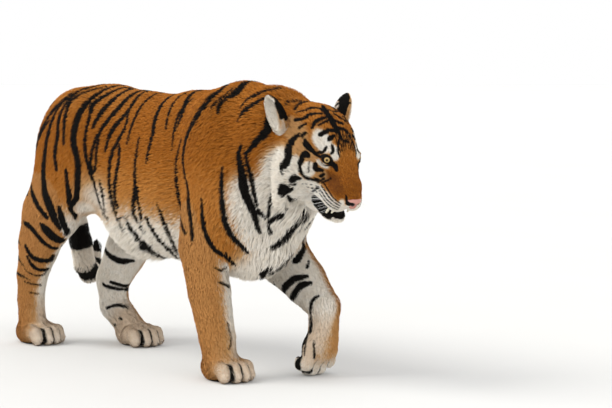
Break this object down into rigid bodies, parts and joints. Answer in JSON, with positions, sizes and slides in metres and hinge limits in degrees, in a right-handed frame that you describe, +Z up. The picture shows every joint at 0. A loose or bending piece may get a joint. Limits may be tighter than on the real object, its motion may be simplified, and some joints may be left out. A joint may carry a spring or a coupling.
{
  "type": "tiger",
  "caption": "Life-size walking Siberian tiger in winter coat, head lowered and turned a little, one forepaw lifted onto its toe tips, tail hanging with a curled tip.",
  "frame": {"origin": "on the ground, under the middle of the whole animal's bounding box", "axes": "+X is the way the tiger walks, +Y its left side, +Z up"},
  "size_m": [1.8286, 0.5222, 1.0278],
  "materials": {
    "coat": "orange-brown winter fur with black stripes",
    "pale_coat": "cream fur with black marks",
    "dark_coat": "black fur, white inside the ear",
    "eye": "wet amber eye with a round black pupil"
  },
  "bodies": {
    "root": {"trunk": "coat", "neck": "coat", "head": "coat", "jaw": "pale_coat", "ear_left": "dark_coat", "ear_right": "dark_coat", "eye_left": "eye", "eye_right": "eye", "leg_front_right": "coat", "leg_front_left": "coat", "leg_hind_right": "coat", "leg_hind_left": "coat", "paw_front_right": "pale_coat", "paw_front_left": "pale_coat", "paw_hind_right": "pale_coat", "paw_hind_left": "pale_coat", "tail": "coat"}
  },
  "joints": []
}
